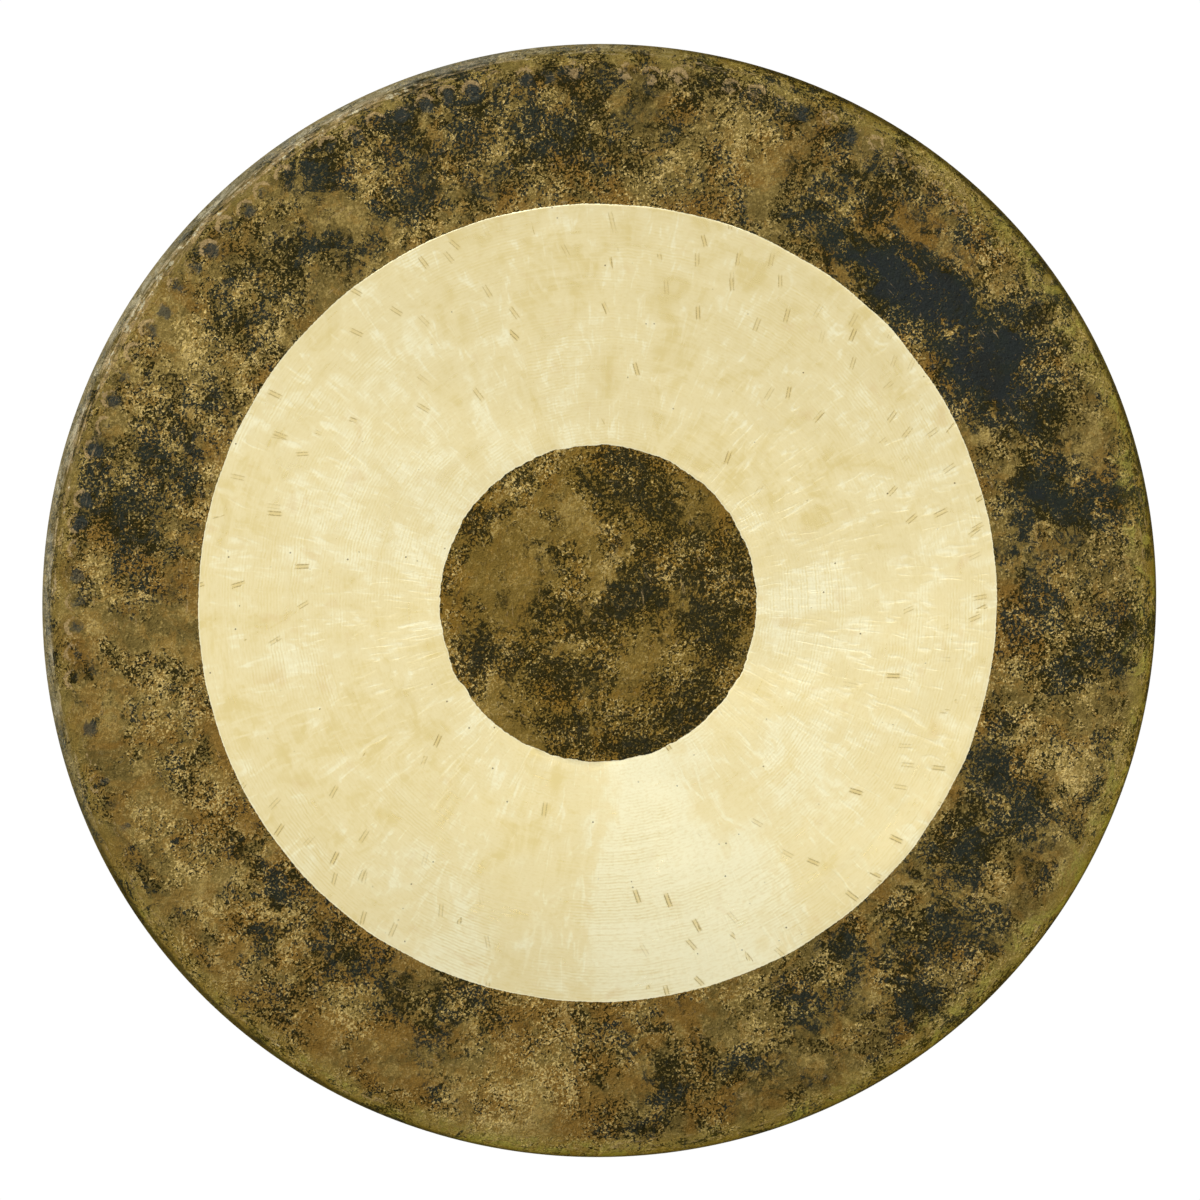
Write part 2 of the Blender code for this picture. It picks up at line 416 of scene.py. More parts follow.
class Sheet:
    """The form of the sheet: its turned profile and what the hammer did to it.

    Heights are along the gong's axis with the face up, from the middle of the face.
    """

    arc_slices = 240
    waves = ((4, 24.0, 0.0), (6, -33.0, 1.3))
    oval_angle = math.radians(40)
    dent_seed = 7
    tint_seed = 5
    dent_stretch = 1.2  # how much longer a mark is across the row than along it
    dent_reach = 0.022  # no hammer mark shows further than this from the row's circle
    fine_reach = 0.0125  # half the width of the strip that gets extra cuts for the marks
    ring_edge_steps = (-0.0012, -0.0003, 0.0003, 0.0012)  # stations across each edge of the shaved ring
    fine_gap, coarse_gap = 0.0016, 0.0026  # between stations on the shoulder, among the marks and past them
    lip_round = (0.0004, 0.0005)  # the small bevel of the lip, across and up
    lip_stiffening = 0.012  # how far up the flange the lip's thicker wall reaches
    knobs = (0.6, 1.65)  # from and to, in radians up from the right: here the marks are crusted over
    clearance = 0.00006  # keeps the finer steps of this sheet inside the solid model's box
    ring_drift = (-0.0028, -0.0005)  # the hand-shaved ring is a little off the middle

    def __init__(self, sizes):
        self.s = sizes
        self.radius = sizes.diameter / 2
        self.face_radius = self.radius - sizes.shoulder_reach
        self.ring_outer = self.radius - sizes.band_width
        self.ring_inner = sizes.centre_diameter / 2
        self.shoulder = self.shoulder_path()
        self.flange_top_radius, self.flange_top_height, _ = self.shoulder[-1]
        self.lip_height = self.flange_top_height - sizes.flange_length * math.cos(sizes.flange_lean)
        self.mid_height = self.lip_height / 2
        self.dents = self.dent_row()

    def dome_slope(self, radius):
        return math.atan(2 * self.s.dome_rise * radius / self.face_radius**2)

    def dome_height(self, radius):
        return -self.s.dome_rise * (radius / self.face_radius) ** 2

    def shoulder_path(self):
        """The bend from the face to the flange as (radius, height, slope) at even stations."""
        start = self.dome_slope(self.face_radius)
        turn = math.pi / 2 + self.s.flange_lean - start
        unit = [(0.0, 0.0, start)]
        for i in range(self.arc_slices):
            middle = start + turn * ((i + 0.5) / self.arc_slices) ** self.s.shoulder_ease
            end = start + turn * ((i + 1) / self.arc_slices) ** self.s.shoulder_ease
            across, down, _ = unit[-1]
            unit.append((across + math.cos(middle), down - math.sin(middle), end))
        length = self.s.shoulder_reach / max(across for across, _, _ in unit)
        edge = self.dome_height(self.face_radius)
        return [(self.face_radius + length * a, edge + length * d, slope) for a, d, slope in unit]

    def flange_radius(self, height):
        return self.flange_top_radius - (self.flange_top_height - height) * math.tan(self.s.flange_lean)

    def face_wall(self, radius):
        thinning = self.s.band_wall - self.s.centre_wall
        return self.s.centre_wall + thinning * blend(radius / self.ring_outer)

    def outer_profile(self):
        """(radius, height) down the outside, dense where the hammer marks lie."""
        steps = [0.0, *spread(0.0, self.ring_inner - 0.003, 24)]
        steps += [self.ring_inner + off for off in self.ring_edge_steps]
        steps += spread(self.ring_inner + 0.003, self.ring_outer - 0.003, 40)
        steps += [self.ring_outer + off for off in self.ring_edge_steps]
        steps += spread(self.ring_outer + 0.002, self.face_radius, 17)
        points = [(r, self.dome_height(r)) for r in steps]
        last = 0
        for i in range(1, self.arc_slices + 1):
            radius, height, _ = self.shoulder[i]
            before = self.shoulder[last]
            gap = self.fine_gap if radius < self.radius - self.s.dent_inset + 0.012 else self.coarse_gap
            if math.hypot(radius - before[0], height - before[1]) >= gap or i == self.arc_slices:
                points.append((radius, height))
                last = i
        across, up = self.lip_round
        flange = spread(self.flange_top_height, self.lip_height + up, 8)
        points += [(self.flange_radius(h), h) for h in flange]
        points.append((self.flange_radius(self.lip_height) - across, self.lip_height))
        return points

    def inner_profile(self):
        """(radius, height) up the inside, a sheet's thickness behind the outside."""
        lip = self.flange_radius(self.lip_height)
        across, up = self.lip_round
        points = [(lip - self.s.lip_wall + across, self.lip_height)]
        points.append((lip - self.s.lip_wall, self.lip_height + up))
        low = self.lip_height + 0.004
        for h in [low, *spread(low, self.flange_top_height, 5)]:
            thinned = blend((h - self.lip_height) / self.lip_stiffening)
            thick = self.s.lip_wall + (self.s.flange_wall - self.s.lip_wall) * thinned
            points.append((self.flange_radius(h) - thick, h))
        for i in reversed(spread(0, self.arc_slices, 14)[:-1]):
            radius, height, slope = self.shoulder[round(i)]
            wall = self.s.band_wall + (self.s.flange_wall - self.s.band_wall) * i / self.arc_slices
            points.append((radius - wall * math.sin(slope), height - wall * math.cos(slope)))
        for radius in reversed([0.0, *spread(0.0, self.face_radius, 46)]):
            wall, slope = self.face_wall(radius), self.dome_slope(radius)
            height = self.dome_height(radius) - wall * math.cos(slope)
            points.append((radius - wall * math.sin(slope), height))
        return points

    def worked(self, point):
        """Where hand hammering leaves a point of the turned form."""
        radius, angle = math.hypot(point.x, point.y), math.atan2(point.y, point.x)
        off = angle - self.oval_angle
        swell = 0.6 * math.cos(2 * off) + 0.4 * math.cos(4 * off)
        stretch = 1 + self.s.out_of_round / self.radius * swell * (radius / self.radius)
        ripple = sum(math.sin(turns * angle + out * radius + phase) for turns, out, phase in self.waves)
        inside_rim = 1 - blend((radius - self.ring_outer) / (self.face_radius - self.ring_outer))
        lift = self.s.face_wave * ripple / len(self.waves) * inside_rim * blend(radius / self.ring_inner)
        return Vector((point.x * stretch, point.y * stretch, point.z + lift))

    def dent_row(self):
        """(angle, radius) of each hammer mark, each a little off its even place.

        It also draws how strongly each mark's grey tint and its light arc show: the arc is a painted
        highlight on the mark's outer edge, and a strong one in the knobs means the mark is encrusted.
        """
        hand, hand_of_tint = random.Random(self.dent_seed), random.Random(self.tint_seed)
        row = self.radius - self.s.dent_inset
        count = round(2 * math.pi * row / self.s.dent_pitch)
        found = []
        self.dent_shows = [hand_of_tint.uniform(0.15, 1.0) for _ in range(count)]
        self.arc_and_crust_shows = [hand_of_tint.uniform(-0.2, 1.3) for _ in range(count)]
        for i in range(count):
            angle = 2 * math.pi * i / count + hand.uniform(-0.5, 0.5) * self.s.dent_scatter / row
            found.append((angle, row + hand.uniform(-1.0, 1.0) * self.s.dent_scatter))
        return found

    def dent_at(self, radius, angle):
        """(depth, tint, encrusting and lit arc) of the hammer marks at a point of the outside, each as a
        share; the light arc on each mark's outer edge is a painted highlight, shown towards the upper left.
        """
        row = self.radius - self.s.dent_inset
        if abs(radius - row) > self.dent_reach:
            return 0.0, 0.0, 0.0
        depth = tint = crust_and_lit_arc = 0.0
        first = round(angle / (2 * math.pi) * len(self.dents))
        for i in (first - 1, first, first + 1):
            at, out = self.dents[i % len(self.dents)]
            turn = (angle - at + math.pi) % (2 * math.pi) - math.pi
            along = turn * row / (self.s.dent_diameter / 2)
            across = (radius - out) / (self.s.dent_diameter / 2 * self.dent_stretch)
            away = math.hypot(along, across)
            depth = max(depth, bump(away / 1.15))
            depth -= 0.16 * bump(abs(away - 1.35) / 0.5)
            shows = self.dent_shows[i % len(self.dents)]
            arc = max(0.0, self.arc_and_crust_shows[i % len(self.dents)])
            if arc > 0.55 and self.knobs[0] < at < self.knobs[1]:
                shows *= 0.3
                crust_and_lit_arc = max(crust_and_lit_arc, bump(away / 1.2) * 0.6)
            tint = max(tint, bump(away / 1.6) * (0.3 + 0.9 * shows))
            # Painted highlight: a light arc on the outer edge of each mark
            crust_and_lit_arc = max(crust_and_lit_arc, bump(abs(away - 1.05) / 0.35) * blend((across + 0.3) / 1.0) * arc)
        top_left = Vector((math.cos(angle), math.sin(angle))).dot(Vector((-0.6, 0.8)))
        clear = 0.22 + 0.78 * blend((top_left + 0.1) / 0.7)
        return depth, tint * clear, crust_and_lit_arc * blend((top_left + 0.2) / 0.7)

    def ring_edges(self, angle):
        """(inner, outer) radius of the shaved ring at this angle: cut by hand, so a little wavy."""
        outer = noise.noise(Vector((9 * math.cos(angle), 9 * math.sin(angle), 3.0)))
        inner = noise.noise(Vector((8 * math.cos(angle), 8 * math.sin(angle), 7.0)))
        nick = noise.noise(Vector((30 * math.cos(angle), 30 * math.sin(angle), 1.0)))
        return self.ring_inner + 0.0012 * inner + 0.0008 * nick, self.ring_outer + 0.0009 * outer

    def shave_at(self, point):
        """Distance inside the shaved ring, in metres, negative outside it."""
        x, y = point.x - self.ring_drift[0], point.y - self.ring_drift[1]
        inner, outer = self.ring_edges(math.atan2(y, x))
        radius = math.hypot(x, y)
        return min(radius - inner, outer - radius)


def stain_at(stains, x, z):
    """How strongly a point lies in these stains, with their edges drawn out of round by noise."""
    warp = noise.noise_vector(Vector((x * 22, z * 22, 4.0))) * 0.012
    found = 0.0
    for across, up, reach, strength in stains:
        away = math.hypot(x + warp.x - across * MM, z + warp.y - up * MM) / (reach * MM * 1.3)
        found += strength * bump(away)
    return min(found, 1.4)


def planished(x, y):
    """Uneven flat facets that the hammer leaves on the face, from -1 to 1."""
    slow = noise.fractal(Vector((x * 16, y * 16, 2.0)), 1.0, 2.0, 3)
    fast = noise.noise(Vector((x * 55, y * 55, 5.0)))
    return 0.7 * slow + 0.3 * fast


def spun(sheet):
    """The turned sheet as a closed bmesh, face up, with finer steps in the dent row."""
    bm = bmesh.new()
    profile = [(r, h - sheet.mid_height) for r, h in sheet.outer_profile() + sheet.inner_profile()]
    verts = [bm.verts.new((r, 0.0, h)) for r, h in profile]
    edges = [bm.edges.new(pair) for pair in zip(verts, verts[1:])]
    bmesh.ops.spin(
        bm,
        geom=verts + edges,
        cent=(0, 0, 0),
        axis=(0, 0, 1),
        angle=2 * math.pi,
        steps=sheet.s.turn_steps,
        use_merge=True,
    )
    bmesh.ops.remove_doubles(bm, verts=bm.verts, dist=0.00001)
    bmesh.ops.recalc_face_normals(bm, faces=bm.faces)
    row = sheet.radius - sheet.s.dent_inset
    fine = []
    for edge in bm.edges:
        a, b = edge.verts
        radius = math.hypot(a.co.x, a.co.y)
        around = abs(a.co.z - b.co.z) < 1e-6 and abs(radius - math.hypot(b.co.x, b.co.y)) < 1e-6
        in_strip = abs(radius - row) < sheet.fine_reach and a.link_faces[0].normal.z > 0
        if around and in_strip and (a.co - b.co).length > 1e-4:
            fine.append(edge)
    rings = {round(edge.verts[0].co.z, 7): math.hypot(*edge.verts[0].co.xy) for edge in fine}
    cut = bmesh.ops.subdivide_edges(bm, edges=fine, cuts=sheet.s.dent_cuts, use_grid_fill=True)
    for vert in [e for e in cut["geom_inner"] if isinstance(e, bmesh.types.BMVert)]:
        true = rings.get(round(vert.co.z, 7))
        if true:
            grown = true / math.hypot(vert.co.x, vert.co.y)
            vert.co.x, vert.co.y = vert.co.x * grown, vert.co.y * grown
    return bm


def painted_gleam_at(x, z):
    """How strongly the painted highlight brightens the shaved ring at a point: broad soft rays and a few
    narrow ones.
    """
    angle = math.degrees(math.atan2(x, z)) % 360
    angle += 9 * noise.noise(Vector((x * 14, z * 14, 8.0)))
    found, out = 0.0, blend((math.hypot(x, z) - 0.17) / 0.12)
    for at, width, strength, at_edge in PAINTED_GLEAMS:
        found += strength * (1.1 + (at_edge - 1.1) * out) * bump(abs((angle - at + 180) % 360 - 180) / width)
    return found


def crest_wear_and_highlight_at(radius, angle):
    """How far the skin along the crest of the shoulder is rubbed lighter and carries a painted highlight,
    most at the upper left where the light falls.
    """
    crest = 0.3985 + 0.0015 * noise.noise(Vector((5 * math.cos(angle), 5 * math.sin(angle), 2.0)))
    upper_left = math.cos(angle) * -0.75 + math.sin(angle) * 0.66
    strength = 0.32 + 0.68 * blend((upper_left - 0.72) / 0.26)
    return strength * bump(abs(radius - crest) / 0.008)


def struck(bm, sheet):
    """Marks, dents, shaves and works every point, and keeps what the finishes need to know."""
    names = ("shave", "stain", "glow", "dent", "crust_and_lit_arc", "painted_gleam", "crest_wear_and_highlight", "outside")
    layers = {name: bm.verts.layers.float.new(name) for name in names}
    bm.normal_update()
    moved = []
    lip = sheet.lip_height - sheet.mid_height
    for vert in bm.verts:
        x, y, z = vert.co
        radius, angle = math.hypot(x, y), math.atan2(y, x)
        normal = vert.normal.copy()
        outside = normal.z > 0.02 or (radius > sheet.face_radius and normal.xy.dot(Vector((x, y))) > 0)
        shave = sheet.shave_at(vert.co)
        lift = sheet.s.planish * planished(x, y) * blend(radius / 0.05)
        tint = crust_and_lit_arc = 0.0
        if outside:
            depth, tint, crust_and_lit_arc = sheet.dent_at(radius, angle)
            shaved = sheet.s.shave_depth * blend(0.5 + shave / 0.0008)
            reach = (lift - sheet.s.planish * 0.9 - shaved) * blend((normal.z - 0.05) / 0.3)
            reach -= depth * sheet.s.dent_depth + sheet.clearance * blend((radius - sheet.face_radius) / 0.03)
        else:
            reach = -lift * blend(-normal.z / 0.5)
        moved.append(sheet.worked(vert.co + normal * reach * blend((z - lip - 0.002) / 0.01)))
        values = (-0.05, 0.0, 0.0)
        if outside:
            values = (shave, stain_at(DARK_STAINS, x, y), stain_at(BRIGHT_STAINS, x, y))
        values += (tint, crust_and_lit_arc, painted_gleam_at(x, y), crest_wear_and_highlight_at(radius, angle), 1.0 if outside else 0.0)
        for name, value in zip(names, values):
            vert[layers[name]] = value
    for vert, place in zip(bm.verts, moved):
        vert.co = place


def drilled(piece, sheet):
    """Cuts the two cord holes out of the flange."""
    bm = bmesh.new()
    height = sheet.lip_height + sheet.s.hole_to_lip
    place = Matrix.Translation((sheet.flange_radius(height), 0.0, height - sheet.mid_height))
    for side in (-1, 1):
        swing = Matrix.Rotation(math.pi / 2 + side * sheet.s.hole_angle, 4, "Z")
        bmesh.ops.create_cone(
            bm,
            cap_ends=True,
            segments=32,
            radius1=sheet.s.hole_diameter / 2,
            radius2=sheet.s.hole_diameter / 2,
            depth=8 * sheet.s.flange_wall,
            matrix=swing @ place @ Matrix.Rotation(math.pi / 2, 4, "Y"),
        )
    bmesh.ops.rotate(bm, cent=(0, 0, 0), matrix=Matrix.Rotation(math.pi / 2, 3, "X"), verts=bm.verts)
    mesh = bpy.data.meshes.new("cord_drill")
    bm.to_mesh(mesh)
    bm.free()
    drill = bpy.data.objects.new("cord_drill", mesh)
    bpy.context.scene.collection.objects.link(drill)
    boolean = piece.modifiers.new("cord_holes", "BOOLEAN")
    boolean.operation = "DIFFERENCE"
    boolean.object = drill
    graph = bpy.context.evaluated_depsgraph_get()
    cut = bpy.data.meshes.new_from_object(piece.evaluated_get(graph))
    piece.modifiers.clear()
    piece.data = cut
    bpy.data.objects.remove(drill)


class Skin:
    """Noises and masks that the layers of the cast skin share. A mask runs from 0 to 1."""

    def __init__(self, paint, place, x, z, radius):
        self.x, self.z, self.radius = x, z, radius
        self.stain, self.glow = paint.attribute("stain"), paint.attribute("glow")
        self.dent, self.crust_and_lit_arc = paint.attribute("dent"), paint.attribute("crust_and_lit_arc")
        self.outside, self.crest_wear_and_highlight = paint.attribute("outside"), paint.attribute("crest_wear_and_highlight")
        self.read_noises(paint, place)
        self.mark_places(paint)

    def read_noises(self, paint, place):
        """From clouds as wide as a hand down to dust, streaks along the rim, and three masks of them."""
        self.broad = paint.noise(place, 14.0, 4.0, 0.6, 0.4)
        unrest = paint.noise(place, 18.0, 4.0, 0.65, 0.8)
        self.warmth = paint.noise(place, 21.0, 5.0, 0.65, 0.8)
        scab = paint.noise(place, 24.0, 9.0, 0.74, 1.6)
        self.tone = paint.noise(place, 27.0, 6.0, 0.65, 1.0)
        flake = paint.noise(place, 31.0, 9.0, 0.74, 1.2)
        self.chill = paint.noise(place, 33.0, 5.0, 0.65, 0.8)
        self.cloud = paint.noise(place, 42.0, 7.0, 0.72, 1.2)
        self.spark = paint.noise(place, 75.0, 4.0, 0.7, 0.8)
        self.clot = paint.noise(place, 95.0, 4.0, 0.65, 1.0)
        self.crumb = paint.noise(place, 200.0, 4.0, 0.75, 0.6)
        # The crumbs read again a little towards the upper left, for the painted light and shade on their
        # sides
        self.crumb_shifted_to_light = paint.noise(paint.between(EMBOSS_LIGHT_SHIFT, place), 200.0, 4.0, 0.75, 0.6)
        self.grain = paint.noise(place, 540.0, 1.0, 0.6, 0.5)
        self.fleck = paint.noise(place, 600.0, 1.0, 0.6, 0.3)
        self.dust = paint.noise(place, 1250.0, 1.0, 0.5, 0.2)
        self.along = paint.noise(paint.vector(self.radius * 420, self.x * 45, self.z * 45), 1.0, 3.0, 0.7)
        self.flaked = paint.step(flake + self.glow * 0.04 - self.stain * 0.02, 0.535, 0.565)
        self.scabbed = paint.step(scab + self.stain * 0.05 - self.glow * 0.02, 0.505, 0.535)
        self.restless = paint.step(unrest + self.stain * 0.05, 0.40, 0.54)

    def mark_places(self, paint):
        """Where the skin differs: the outer band, its edges and the sides of the gong."""
        wander = (self.tone - 0.5) * 0.02
        self.band = paint.step(self.radius, 0.115, 0.150)
        self.halo = paint.step(paint.attribute("shave") + wander, -0.022, -0.002)
        self.rim = paint.step(self.radius + wander, 0.385, 0.397)
        self.edge = paint.step(self.radius + (self.cloud - 0.5) * 0.01, 0.392, 0.400)
        self.low_right = paint.step(self.x * 0.6 - self.z * 0.8, -0.28, 0.16)
        self.low_left = paint.step(self.x * -0.7 - self.z * 0.7, 0.05, 0.30)
        self.upper_left = paint.step(self.z * 0.6 - self.x * 0.8, 0.14, 0.34)


def darkness(skin):
    """How far a place leans to black scale: hardly any below 0.35, solid scale from 1.75 up."""
    dark = skin.stain * (0.35 + skin.scabbed * 0.75) - skin.glow * 0.4
    dark = dark + (skin.broad - 0.5) * 2.0 + (skin.cloud - 0.5) * 2.0
    dark = dark + (skin.clot - 0.5) * 1.4 + (skin.crumb - 0.5) * 1.7
    dark = dark + skin.scabbed * 0.22 - skin.flaked * 0.42 + skin.dent * 0.3 - skin.halo * 0.25
    dark = dark - skin.rim * 0.5 + 0.50 - skin.band * 0.17 - skin.outside * 0.08
    return dark + skin.edge * (skin.scabbed * 0.55 + 0.10)


def bronze_tones(paint, skin, dark, colours):
    """Brown and gold skin with its rust, its copper and its pale flecks, before any black."""
    light = skin.tone * 1.3 + skin.clot * 0.5 + skin.flaked * 0.24 + skin.glow * 0.25
    light = light + skin.rim * (0.25 - skin.z * 0.25)
    light = light + (skin.crumb - 0.5) * 1.1 + (skin.fleck - 0.5) * 0.5
    rust = skin.warmth + skin.halo * 0.05 + skin.low_left * 0.06 - skin.upper_left * 0.04
    rust = paint.step(rust, 0.48, 0.64) * (0.85 - skin.band * 0.15)
    copper = paint.step(skin.spark + skin.low_left * 0.04, 0.52, 0.60)
    bright = skin.fleck + (skin.crumb - 0.5) * 0.7 + (skin.tone - 0.5) * 0.7 + (skin.clot - 0.5) * 0.5
    bright = paint.step(bright + skin.flaked * 0.05 + skin.glow * 0.06, 0.60, 0.67)
    tones = paint.mix(colours.brown, colours.gold, paint.step(light, 0.60, 1.50))
    tones = paint.mix(tones, colours.rust, rust)
    tones = paint.mix(tones, colours.copper, copper * 0.5)
    tones = paint.mix(tones, colours.amber, (1 - skin.band) * skin.outside * 0.45)
    tones = paint.mix(tones, colours.olive, skin.rim * 0.4)
    tones = paint.mix(tones, colours.pale_gold, bright * (0.22 + skin.restless * 0.68))
    return paint.mix(tones, colours.wash, paint.step(dark, 0.35, 1.15) * 0.6)


def black_scale(paint, skin, dark, colour, colours):
    """(colour, specks, soot): fine black grain over the bronze, and solid scale in the stains."""
    eased = dark - paint.step(dark, 0.6, 1.7) * 0.7
    specks = paint.step(skin.grain + eased * 0.23 - 0.585, -0.018, 0.018)
    specks = specks * paint.step(skin.restless * 0.8 + dark * 0.7, 0.0, 0.75)
    cool = paint.step(skin.chill + skin.stain * 0.05, 0.47, 0.57)
    scale = paint.mix(colours.soot, colours.slate, (0.15 + skin.band * 0.75) * cool)
    colour = paint.mix(colour, scale, specks * (0.90 + skin.band * 0.05))
    soot = paint.step(dark + (skin.grain - 0.5) * 1.8 + (skin.crumb - 0.5) * 1.2, 0.95, 1.75)
    core = paint.step(skin.stain + (skin.cloud - 0.5) * 2.0, 0.95, 1.45)
    solid = paint.mix(colours.slate, colours.ink, core)
    colour = paint.mix(colour, solid, soot * (0.36 + skin.band * 0.20 + core * 0.22))
    return colour, specks, soot


def hammer_marks(paint, skin, colour, colours):
    """(colour, encrusted and lit): grey in the hammer marks, and tan round them that is partly encrusting and
    partly a painted highlight on their outer edges.
    """
    pitted = paint.step(skin.dent + (skin.crumb - 0.5) * 1.6 + (skin.clot - 0.5) * 1.2, 0.38, 0.85)
    crusted_and_lit = paint.step(skin.crust_and_lit_arc + (skin.crumb - 0.5) * 2.2 + (skin.fleck - 0.5) * 1.0, 0.36, 0.66)
    colour = paint.mix(colour, colours.dull, pitted * 0.75)
    return paint.mix(colour, colours.tan, crusted_and_lit * 0.75), crusted_and_lit


def rim_wear_and_painted_light(paint, skin, colour, colours):
    """The crest of the shoulder, rubbed and with a painted highlight and painted glints, and past it the
    moss, a slate line of painted shade along the outermost edge, slate streaks and light grey streaks of
    painted reflection.
    """
    # The crest is partly rubbed and partly a painted highlight
    rubbed_and_lit = paint.step(skin.crest_wear_and_highlight + (skin.along - 0.5) * 3.4 + (skin.crumb - 0.5) * 1.4, 0.45, 1.05)
    # Painted glints along the crest
    glint = skin.crest_wear_and_highlight + (skin.along - 0.5) * 2.0 + (skin.crumb - 0.5) * 3.0 + (skin.clot - 0.5) * 2.5
    mossy = skin.radius + (skin.tone - 0.5) * 0.05 + (skin.cloud - 0.5) * 0.03 + skin.x * 0.016
    mossy = paint.step(mossy, 0.387, 0.404) * (0.2 + skin.low_right * 0.8)
    # Painted shade: a thin slate line along the outermost edge, weak at the upper left
    turn = paint.step(skin.radius + (skin.clot - 0.5) * 0.004, 0.4030, 0.4052)
    grooves = paint.step(0.54 - skin.along, 0.0, 0.10) * skin.edge * skin.upper_left
    # Painted reflection: light grey streaks along the upper left edge
    edge_reflection = paint.step(skin.radius + (skin.along - 0.5) * 0.016, 0.3975, 0.4035) * skin.upper_left
    colour = paint.mix(colour, colours.tan, rubbed_and_lit * 0.75)
    colour = paint.mix(colour, colours.silvery_gleam, paint.step(glint, 1.10, 1.40) * 0.7)
    colour = paint.mix(colour, colours.moss, mossy * (0.10 + skin.flaked * 0.68))
    colour = paint.mix(colour, colours.slate, turn * (0.7 - skin.upper_left * 0.6))
    colour = paint.mix(colour, colours.slate, grooves * 0.45)
    return paint.mix(colour, colours.edge_reflection, edge_reflection * (0.38 + skin.flaked * 0.30))


def cast_skin(paint, place, x, z, radius, colours):
    """(colour, roughness, height) of the dark cast skin with its stains and its black grain."""
    skin = Skin(paint, place, x, z, radius)
    dark = darkness(skin)
    colour = bronze_tones(paint, skin, dark, colours)
    colour, specks, soot = black_scale(paint, skin, dark, colour, colours)
    colour, crusted_and_lit = hammer_marks(paint, skin, colour, colours)
    colour = rim_wear_and_painted_light(paint, skin, colour, colours)
    # Painted light and shade: the crumbs are lighter on their upper left sides and darker on their lower
    # right sides, and the dust adds a random tone
    emboss_shade_and_dust = (skin.crumb_shifted_to_light - skin.crumb) * (2.2 + skin.restless * 2.4) * (1 - soot * 0.55)
    emboss_shade_and_dust = 1.0 + emboss_shade_and_dust + (skin.dust - 0.5) * 1.1
    colour = paint.node("VectorMath", {"operation": "SCALE"}, {0: colour, "Scale": emboss_shade_and_dust})
    covered = specks + soot - specks * soot
    rough = 0.48 + covered * 0.10 + (skin.cloud - 0.5) * 0.3
    height = skin.cloud * 0.6 - covered * 0.25 + skin.grain * 0.2 + skin.crumb * 0.8 + crusted_and_lit * 0.25
    return colour, rough, height


def tool_marks(paint, flat, spacing, shift):
    """Masks of the scraper's short paired cuts, slanted off the radius, and each one's chance."""
    cell = {"Vector": paint.between((shift, shift, 0.0), flat)}
    cell.update({"Scale": 1 / spacing, "Randomness": 0.85})
    centre = paint.node("TexVoronoi", {"voronoi_dimensions": "2D"}, cell, output="Position")
    chances = paint.node("SeparateXYZ", inputs={0: Value(paint, centre.socket.node.outputs["Color"])})
    chance, twist, faint = (Value(paint, output) for output in chances.socket.node.outputs)
    centre = paint.between((-shift, -shift, 0.0), centre)
    out = paint.node("VectorMath", {"operation": "NORMALIZE"}, {0: centre})
    side = paint.node("VectorMath", {"operation": "CROSS_PRODUCT"}, {0: (0.0, 0.0, 1.0), 1: out})
    arrow = paint.between(centre, flat)
    slant = twist * 0.5 + 0.1
    along, across = paint.dot(arrow, out), paint.dot(arrow, side)
    run, off = along + slant * across, across - slant * along
    fray = (paint.noise(flat, 700.0, 2.0, 0.7) - 0.5) * 0.003
    pair = 1 - paint.step(abs(abs(off) - 1.3 * MM) + abs(fray), 0.2 * MM, 0.8 * MM)
    middle = 1 - paint.step(abs(off), 1.0 * MM, 2.8 * MM)
    length = 1 - paint.step(abs(run) + fray, 3.6 * MM, 6.2 * MM)
    worn = faint * 0.8 + 0.2
    return pair * length * worn, middle * length * worn, chance


def oblique(paint, x, y, z):
    """A place turned off the axes, so that noise read along a ring or a radius shows no plaid."""
    inputs = {"Vector": paint.vector(x, y, z), "Rotation": (0.7, 0.5, 0.9)}
    return paint.node("VectorRotate", {"rotation_type": "EULER_XYZ"}, inputs)


def scraper_cuts(paint, flat, radius, cosine, streaks, colour, colours):
    """(colour, marks): brown cuts in golden smudges, thickest towards the outer edge."""
    marks = 0.0
    for spacing, shift, share in CUT_NETS:
        pair, middle, chance = tool_marks(paint, flat, spacing, shift)
        outward = share * 0.2 + paint.step(radius, 0.20, 0.285) * share
        gathered = 0.35 + paint.step(streaks, 0.44, 0.54) * 0.6 + paint.step(cosine, -0.2, 0.5) * 0.45
        here = paint.step(outward * gathered - chance, -0.02, 0.02)
        colour = paint.mix(colour, colours.smudge, middle * here * 0.65)
        colour = paint.mix(colour, colours.cut, pair * here * 0.8)
        marks = pair * here + marks
    return colour, marks


